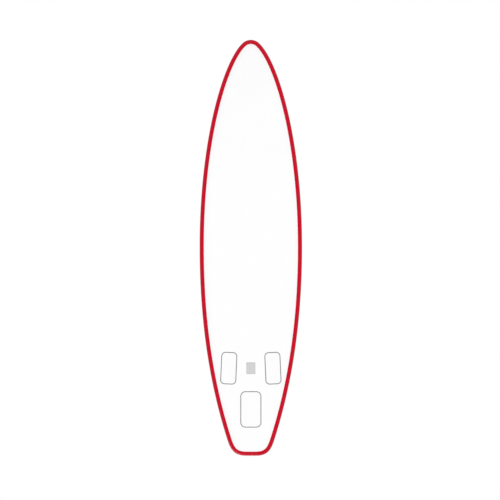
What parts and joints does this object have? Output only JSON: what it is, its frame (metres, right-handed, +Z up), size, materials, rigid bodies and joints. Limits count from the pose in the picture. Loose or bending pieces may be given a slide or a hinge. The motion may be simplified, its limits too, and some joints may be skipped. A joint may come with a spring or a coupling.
{
  "type": "stand-up paddle board",
  "caption": "Inflatable stand-up paddle board: white drop-stitch hull with a red rail band, bottom patches, deck pad, carry handle, hinged D-rings and an inflation valve.",
  "frame": {"origin": "below the middle of the board's length and width, on the surface that the board rests on, bottom down", "axes": "+Y towards the nose, +X to starboard, +Z up through the deck"},
  "size_m": [0.788, 3.2, 0.2936],
  "materials": {
    "core_fabric": "matte",
    "white_pvc": "satin",
    "red_pvc": "satin",
    "patch_pvc": "satin",
    "foam_pad": "matte",
    "webbing": "matte",
    "neoprene": "matte",
    "stainless_steel": "polished",
    "valve_moulding": "satin",
    "valve_button": "gloss",
    "seal_rubber": "matte"
  },
  "bodies": {
    "board": {"drop_stitch_core": "core_fabric", "bottom_panel": "white_pvc", "deck_panel": "white_pvc", "side_wall_starboard": "core_fabric", "side_wall_port": "core_fabric", "rail_band_starboard": "red_pvc", "rail_band_port": "red_pvc", "fin_patch_centre": "patch_pvc", "fin_patch_starboard": "patch_pvc", "fin_patch_port": "patch_pvc", "deck_pad": "foam_pad", "handle_patch_front": "patch_pvc", "handle_patch_rear": "patch_pvc", "handle_strap_front": "webbing", "handle_strap_rear": "webbing", "bow_dring_patch": "patch_pvc", "bow_dring_loop": "webbing", "leash_dring_patch": "patch_pvc", "leash_dring_loop": "webbing", "cargo_front_starboard_dring_patch": "patch_pvc", "cargo_front_starboard_dring_loop": "webbing", "cargo_front_port_dring_patch": "patch_pvc", "cargo_front_port_dring_loop": "webbing", "cargo_rear_starboard_dring_patch": "patch_pvc", "cargo_rear_starboard_dring_loop": "webbing", "cargo_rear_port_dring_patch": "patch_pvc", "cargo_rear_port_dring_loop": "webbing", "valve_body": "valve_moulding", "valve_gasket": "seal_rubber", "valve_nut": "valve_moulding", "valve_spring": "stainless_steel"},
    "handle": {"handle_grip": "neoprene"},
    "bow_ring": {"bow_dring": "stainless_steel"},
    "leash_ring": {"leash_dring": "stainless_steel"},
    "cargo_front_starboard_ring": {"cargo_front_starboard_dring": "stainless_steel"},
    "cargo_front_port_ring": {"cargo_front_port_dring": "stainless_steel"},
    "cargo_rear_starboard_ring": {"cargo_rear_starboard_dring": "stainless_steel"},
    "cargo_rear_port_ring": {"cargo_rear_port_dring": "stainless_steel"},
    "valve_plunger": {"valve_spring_washer": "stainless_steel"},
    "valve_stem": {"valve_stem": "valve_button", "valve_seal_disc": "seal_rubber"},
    "valve_tether": {"valve_tether": "valve_moulding"},
    "valve_cap": {"valve_cap": "valve_moulding", "valve_cap_seal": "seal_rubber"}
  },
  "joints": [
    {"name": "handle_lift", "type": "slide", "parent": "board", "child": "handle", "axis": [0, 0, 1], "range_m": [0, 0.0085], "deforming": ["handle_strap_front", "handle_strap_rear"]},
    {"name": "bow_ring_hinge", "type": "hinge", "parent": "board", "child": "bow_ring", "pos_m": [0, 1.39875, 0.26638], "axis": [1, 0, 0], "range_deg": [0, 175]},
    {"name": "leash_ring_hinge", "type": "hinge", "parent": "board", "child": "leash_ring", "pos_m": [0, -1.45983, 0.15892], "axis": [-1, 0, 0], "range_deg": [0, 175]},
    {"name": "cargo_front_starboard_ring_hinge", "type": "hinge", "parent": "board", "child": "cargo_front_starboard_ring", "pos_m": [0.135, 1.11915, 0.21278], "axis": [0, 0.9884, 0.1517], "range_deg": [0, 175]},
    {"name": "cargo_front_port_ring_hinge", "type": "hinge", "parent": "board", "child": "cargo_front_port_ring", "pos_m": [-0.135, 1.11915, 0.21278], "axis": [0, -0.9884, -0.1517], "range_deg": [0, 175]},
    {"name": "cargo_rear_starboard_ring_hinge", "type": "hinge", "parent": "board", "child": "cargo_rear_starboard_ring", "pos_m": [0.205, 0.6797, 0.16653], "axis": [0, 0.9986, 0.0538], "range_deg": [0, 175]},
    {"name": "cargo_rear_port_ring_hinge", "type": "hinge", "parent": "board", "child": "cargo_rear_port_ring", "pos_m": [-0.205, 0.6797, 0.16653], "axis": [0, -0.9986, -0.0538], "range_deg": [0, 175]},
    {"name": "valve_push", "type": "slide", "parent": "board", "child": "valve_plunger", "axis": [0, 0, -1], "range_m": [0, 0.006], "stiffness_N_per_m": 1500, "springref_m": -0.003, "deforming": ["valve_spring"]},
    {"name": "valve_lock_turn", "type": "hinge", "parent": "valve_plunger", "child": "valve_stem", "pos_m": [0, -1.2, 0.1612], "axis": [0, 0, -1], "range_deg": [0, 90]},
    {"name": "tether_swivel", "type": "hinge", "parent": "board", "child": "valve_tether", "pos_m": [0, -1.2, 0.1587], "axis": [0, 0, 1], "continuous": true},
    {"name": "cap_flip", "type": "hinge", "parent": "valve_tether", "child": "valve_cap", "pos_m": [0, -1.2265, 0.1622], "axis": [1, 0, 0], "range_deg": [0, 178]}
  ]
}
